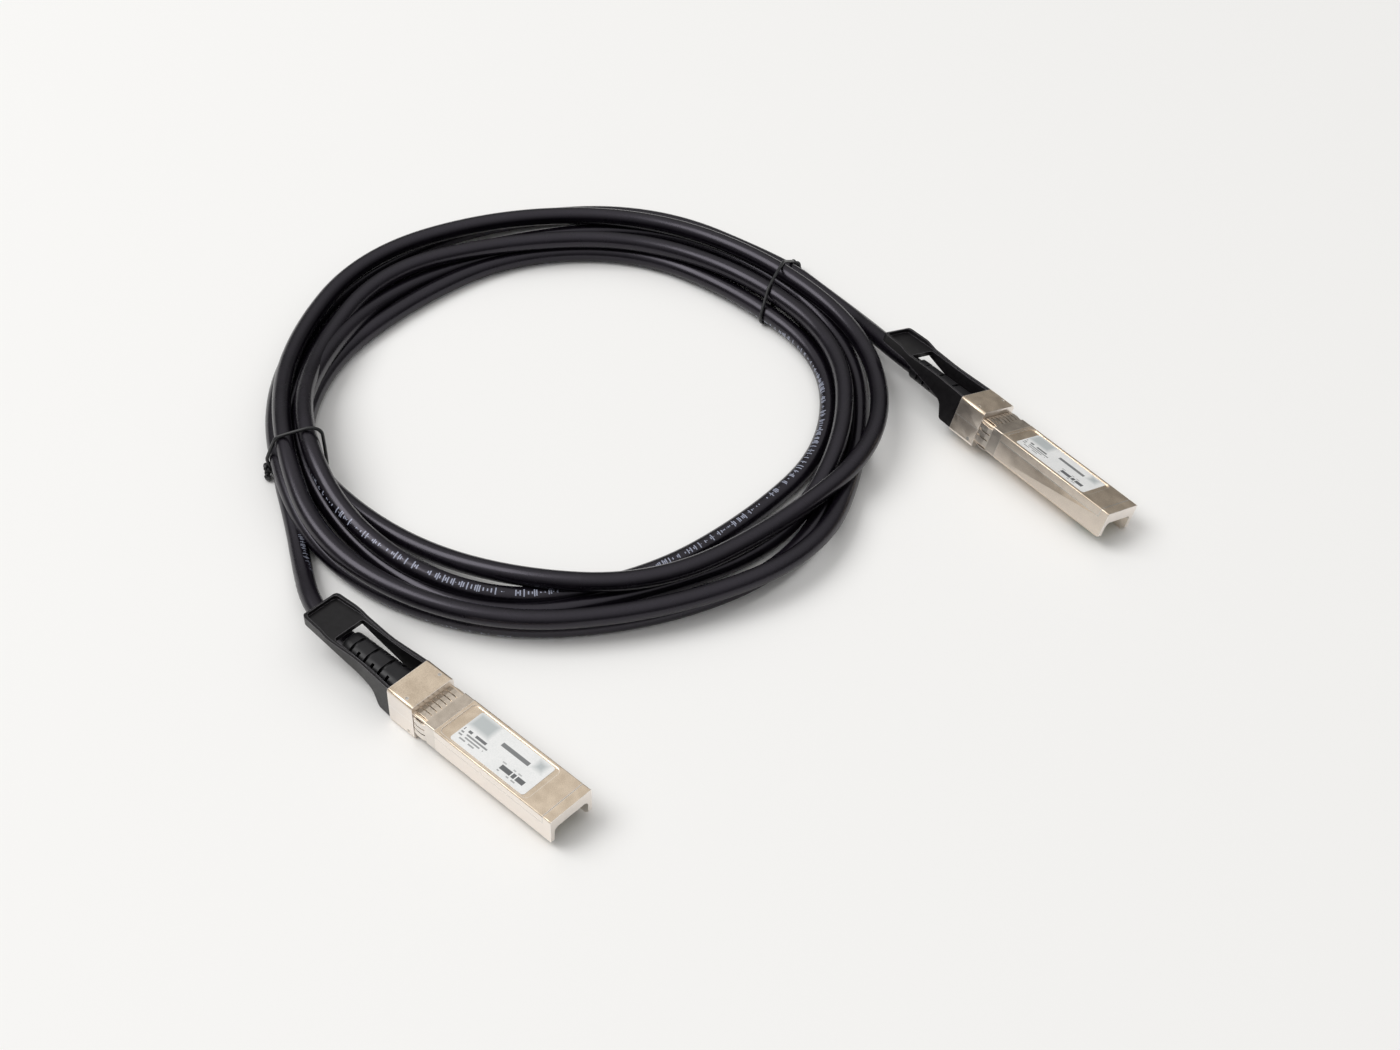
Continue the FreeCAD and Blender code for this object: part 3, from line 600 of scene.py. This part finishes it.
for letter in plug_places:
    film = new_finish("label_film_" + letter, (0.85, 0.85, 0.84), 0.35)
    tree, shader, colour = add_grain(
        film, 3, 0.25, 0.002, ((0.80, 0.81, 0.80), (0.88, 0.88, 0.87)), (0.3, 0.4),
    )
    marks = add_node(tree, "Group", node_tree=print_group)
    tree.links.new(in_plug(tree, letter), marks.inputs["Place"])
    colour = mix_in(tree, marks.outputs["Field"], colour, (0.5, 0.53, 0.53))
    colour = mix_in(tree, marks.outputs["Ink"], colour, (0.05, 0.055, 0.06))
    tree.links.new(colour, shader.inputs["Base Color"])
    dress(film, "label_" + letter)

# ---- Cable -------------------------------------------------------------------------------------
# One long cable runs from boot to boot: shielded wire pairs in a black satin
# jacket, with a broken line of white ink along it. It leaves each boot, sinks to
# the table, and is wound by hand into five and a half loose turns.
cable_diameter = 5.3 * mm
coil_centre = Vector((-79.1, 13.0))
low = 2.65           # a strand that lies on the table, at its centre
tied = 3.65          # a strand that lies on a tie's wire
turns = [
    # how far out, and how high, at twelve stations, clockwise from the left tie
    [(81.6, tied), (79.9, low), (82.0, low), (81.0, low), (87.0, low), (85.6, tied),
     (85.2, low), (82.6, low), (89.0, 7.6), (87.0, 7.9), (89.2, 7.7), (88.3, 8.8)],
    [(82.0, 12.0), (83.6, 7.9), (88.3, 7.9), (86.4, 7.9), (86.2, 7.9), (85.0, 8.4),
     (88.3, 7.6), (86.6, 9.5), (77.4, 8.4), (77.4, 8.6), (72.9, 7.0), (71.0, low)],
    [(76.2, tied), (72.8, low), (69.0, low), (72.3, 2.8), (74.0, low), (71.3, tied),
     (75.2, low), (72.1, low), (67.0, low), (70.6, low), (78.7, 4.4), (78.7, 8.5)],
    [(75.8, 13.6), (75.6, 7.8), (78.6, 7.9), (73.6, 7.9), (74.4, 7.9), (75.2, 7.9),
     (78.8, 7.9), (77.4, 7.9), (77.5, low), (76.0, low), (83.0, low), (79.6, 2.9)],
    [(78.0, 8.6), (73.6, 7.4), (75.2, low), (76.4, low), (78.6, low), (80.2, tied),
     (79.9, low), (77.3, low), (84.4, low), (84.8, low), (87.6, low), (88.3, 3.6)],
    [(84.3, 6.8), (85.4, low), (89.2, low), (92.0, low), (95.0, 2.8), (91.4, low)],
]
print_leans = [             # turns from the left tie, and how far the print leans in from the top
    (-1, 160), (-0.25, 160), (-0.2, 28), (0, 28), (0.4, 180), (2.43, 150), (2.52, 45), (2.6, 15),
    (2.67, -8), (2.75, -20), (2.92, -22), (2.98, -155), (3.4, -165),
    (4.7, -165), (4.82, -125), (4.9, -125), (5.1, -170), (9, -170),
]
stations_in_turn = 12
station_step = 30           # degrees
first_station = -120        # the left tie, seen from the coil's centre
cut_in = 7                  # the spline cuts a bend by one part in so many
top_of_round = 0.1875       # the share of the way round where an upright cable has its top
cable_run = 2893            # millimetres of cable over which the print runs
place_length = 2.1          # each place along it has room for three strokes
stroke_spots = (0.3, 0.85, 1.4)
stroke_half_width = 0.17
ink_cover = 0.8
tail_a = [
    (-52.2, -92.4, 5.85), (-61.2, -92.4, 5.85), (-71.9, -89.5, 4.75),
    (-83.4, -82.8, 2.65), (-98.0, -73.4, 2.65),
]
tail_b = [
    (-60.0, 104.0, 2.65), (-46.0, 101.0, 3.6), (-34.3, 96.0, 6.8),
    (-23.582, 91.966, 8.767), (-14.667, 90.760, 8.500),
]
stations = [station for turn in turns for station in turn]
route = list(tail_a)
for i, (reach, height) in enumerate(stations):
    back = stations[max(i - 1, 0)]
    ahead = stations[min(i + 1, len(stations) - 1)]
    # the spline cuts inside its points, so they stand out from it
    reach += (2 * reach - back[0] - ahead[0]) / cut_in
    height += (2 * height - back[1] - ahead[1]) / cut_in
    reach /= 0.75 + 0.25 * math.cos(math.radians(station_step))
    angle = math.radians(first_station - station_step * i)
    x = coil_centre.x + reach * math.cos(angle)
    y = coil_centre.y + reach * math.sin(angle)
    route.append((x, y, max(height, low)))
route += tail_b

cable_curve = bpy.data.curves.new("cable", "CURVE")
cable_curve.dimensions = "3D"
cable_curve.twist_mode = "Z_UP"
spline = cable_curve.splines.new("NURBS")
spline.points.add(len(route) - 1)
for i, (point, place) in enumerate(zip(spline.points, route)):
    point.co = (*(v * mm for v in place), 1)
    turn = (i - len(tail_a)) / stations_in_turn
    for (near, lean), (far, next_lean) in zip(print_leans, print_leans[1:]):
        if near <= turn <= far:
            point.tilt = math.radians(lean + (next_lean - lean) * (turn - near) / (far - near))
spline.order_u = 3
spline.use_endpoint_u = True
spline.resolution_u = 14
cable = new_object("cable", cable_curve)
graph = bpy.context.evaluated_depsgraph_get()
line_mesh = bpy.data.meshes.new_from_object(cable.evaluated_get(graph), depsgraph=graph)
cable_line = [vertex.co / mm for vertex in line_mesh.vertices]
cable_curve.bevel_depth = cable_diameter / 2
cable_curve.bevel_resolution = 6

jacket = new_finish("jacket", (0.012, 0.011, 0.014), 0.38)
tree, shader, colour = add_grain(
    jacket, 1.6, 0.08, 0.010, ((0.002, 0.0016, 0.0026), (0.006, 0.0045, 0.0075)), (0.22, 0.31),
)
shader.inputs["Specular IOR Level"].default_value = 0.5
shader.inputs["Specular Tint"].default_value = (0.92, 0.87, 1.0, 1)

# plain upright strokes of ink in a row, three to a place, each one there or not
round_and_along = add_node(tree, "SeparateXYZ", {0: add_node(tree, "TexCoord").outputs["UV"]})
travel = calc(tree, "MULTIPLY", round_and_along.outputs["X"], cable_run / place_length)
along = calc(tree, "MULTIPLY", calc(tree, "FRACT", travel), place_length)
across = calc(tree, "SUBTRACT", round_and_along.outputs["Y"], top_of_round)
across = calc(tree, "ABSOLUTE", calc(tree, "MULTIPLY", across, cable_diameter / mm * math.pi))
chance = add_node(tree, "TexWhiteNoise", {"W": calc(tree, "FLOOR", travel)}, noise_dimensions="1D")
chance = add_node(tree, "SeparateColor", {0: chance.outputs["Color"]}).outputs
strokes = 0.0
for spot, luck in zip(stroke_spots, chance):
    stroke = calc(tree, "COMPARE", along, spot, stroke_half_width)
    half_length = calc(tree, "MULTIPLY_ADD", luck, 1.5, -0.4)
    inked = calc(tree, "MULTIPLY", stroke, calc(tree, "LESS_THAN", across, half_length))
    strokes = calc(tree, "MAXIMUM", strokes, inked)
strokes = calc(tree, "MULTIPLY", strokes, ink_cover)
printed = mix_in(tree, strokes, colour, (0.42, 0.45, 0.56))
tree.links.new(printed, shader.inputs["Base Color"])
cable_curve.materials.append(jacket)
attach(cable, "root")
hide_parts("cable_tail_a", "cable_coil", "cable_tail_b")

# ---- Wire ties ---------------------------------------------------------------------------------
# Each tie is a steel wire in a black plastic coat, bent round the strands by hand,
# with its ends twisted together at the outside of the coil.
tie_radius = 0.5
loop_points = 28
first_point = -20           # degrees from the outside; the ends are twisted there
slack_side = 165            # degrees from the outside, where the wire is loose
tie_gap = 0.1               # between wire and strand where it is tight
in_bundle = (-8, 34)        # strands that the wire takes in, from its inner side
end_steps = 13
end_start = 60              # degrees from level, where the twisted ends set out
end_turn = 24               # degrees of their ring at each step
end_twist = 75              # degrees of their twist round each other at each step
ring_radius = 1.7
ring_out = 1.3
ties = {
    # direction and reach at the coil's outside, then at its inside; slack there
    "coil_tie_left": (-118.0, 90.0, -115.5, 69.5, 0.8),
    "coil_tie_right": (-272.0, 92.0, -281.0, 68.0, 0.2),
}


def round_strands(outer, inner, slack):
    """Points of a wire drawn round the strands, in the upright plane through two spots."""
    out = (outer - inner).normalized()
    across = Vector((-out.y, out.x))
    strands = []
    for a, b in zip(cable_line, cable_line[1:]):
        before = (a.xy - inner).dot(across)
        after = (b.xy - inner).dot(across)
        if before * after <= 0 and before != after:
            cut = a.lerp(b, before / (before - after))
            far = (cut.xy - inner).dot(out)
            if in_bundle[0] < far < in_bundle[1]:
                strands.append(Vector((far, cut.z)))
    points = []
    for k in range(loop_points):
        angle = math.radians(first_point + 360 * k / loop_points)
        way = Vector((math.cos(angle), math.sin(angle)))
        strand = max(strands, key=lambda spot: spot.dot(way))
        gap = cable_diameter / mm / 2 + tie_radius + tie_gap
        gap += slack * max(0, math.cos(angle - math.radians(slack_side))) ** 2
        spot = strand + way * gap
        points.append((spot.x, max(spot.y, tie_radius)))
    return [(*(inner + out * far), up) for far, up in points], out, across


def tie_end(root, out, across, step, side):
    """A point of one of the two ends, which are twisted together and curled into a ring."""
    turn = math.radians(end_start + end_turn * step)
    spoke = Vector((*(across * math.cos(turn)), math.sin(turn)))
    twist = math.radians(end_twist * step)
    off = Vector((*(out * math.cos(twist)), 0)) + spoke * math.sin(twist)
    middle = root + Vector((*(out * ring_out), 0.0))
    return middle + spoke * ring_radius + off * side * tie_radius


tie_coat = new_finish("tie_coat", (0.012, 0.012, 0.013), 0.4)
add_grain(tie_coat, 3, 0.3, 0.006, ((0.008, 0.008, 0.009), (0.022, 0.022, 0.024)), (0.34, 0.46))
for name, (outer_way, outer_reach, inner_way, inner_reach, slack) in ties.items():
    ends = []
    for way, reach in ((outer_way, outer_reach), (inner_way, inner_reach)):
        way = math.radians(way)
        ends.append(coil_centre + Vector((math.cos(way), math.sin(way))) * reach)
    loop, out, across = round_strands(*ends, slack)
    root = Vector(loop[0])
    points = [tie_end(root, out, across, step, 1) for step in reversed(range(end_steps))]
    points += [Vector(spot) for spot in loop]
    points += [tie_end(root, out, across, step, -1) for step in range(end_steps)]
    curve = bpy.data.curves.new(name, "CURVE")
    curve.dimensions = "3D"
    wire = curve.splines.new("NURBS")
    wire.points.add(len(points) - 1)
    for point, spot in zip(wire.points, points):
        point.co = (spot.x * mm, spot.y * mm, max(spot.z, tie_radius) * mm, 1)
    wire.order_u = 3
    wire.use_endpoint_u = True
    wire.resolution_u = 6
    curve.bevel_depth = tie_radius * mm
    curve.bevel_resolution = 3
    curve.use_fill_caps = True
    tie = add_piece(name.replace("coil_tie", "tie_wire"), curve, tie_coat, "root", "tie_wire", name)

# ---- Floor -------------------------------------------------------------------------------------
# A plain pale floor, painted matt, which takes the object's soft shadow.
floor_reach = 3
floor_mesh = bpy.data.meshes.new("floor")
floor_mesh.from_pydata(
    [(x * floor_reach, y * floor_reach, 0) for x, y in ((-1, -1), (1, -1), (1, 1), (-1, 1))],
    [], [(0, 1, 2, 3)],
)
floor = new_object("floor", floor_mesh)
floor_paint = new_finish("floor_paint", (0.92, 0.915, 0.90), 0.7)
floor_paint.node_tree.nodes["Principled BSDF"].inputs["Specular IOR Level"].default_value = 0.1
floor_mesh.materials.append(floor_paint)

# ---- Camera and light --------------------------------------------------------------------------
# The camera stands to the right of the near plug and looks down at the coil.
camera_stand = Vector((0.2305, -0.2873, 0.3778))
camera_target = Vector((-0.0216, 0.0047, 0.0))
camera_roll = math.radians(2.34)
lamp_stand = Vector((-1.6, -1.2, 2.56))
lamp_target = Vector((-0.05, 0, 0))


def look(stand, target):
    """A place that looks from one spot to another."""
    aim = (target - stand).to_track_quat("-Z", "Y").to_matrix().to_4x4()
    return Matrix.Translation(stand) @ aim


camera_data = bpy.data.cameras.new("camera")
camera_data.lens = 50.8
camera_data.sensor_width = 36
camera = new_object("camera", camera_data)
camera.matrix_world = look(camera_stand, camera_target) @ Matrix.Rotation(camera_roll, 4, "Z")
bpy.context.scene.camera = camera

# One broad lamp stands high and far off at the front left. The surround is even
# and pale, and brighter overhead.
lamp_data = bpy.data.lights.new("lamp", "AREA")
lamp_data.energy = 54
lamp_data.size = 2.1
lamp = new_object("lamp", lamp_data)
lamp.matrix_world = look(lamp_stand, lamp_target)

world = bpy.data.worlds.new("surround")
bpy.context.scene.world = world
world.use_nodes = True
air = world.node_tree
surround = air.nodes["Background"]
surround.inputs["Color"].default_value = (0.98, 0.975, 0.97, 1)
height = add_node(air, "SeparateXYZ", {0: add_node(air, "TexCoord").outputs["Generated"]})
air.links.new(spread(air, height.outputs["Z"], 0.3, 1.0, 0.16, 1.05), surround.inputs["Strength"])
bpy.context.scene.view_settings.view_transform = "Standard"
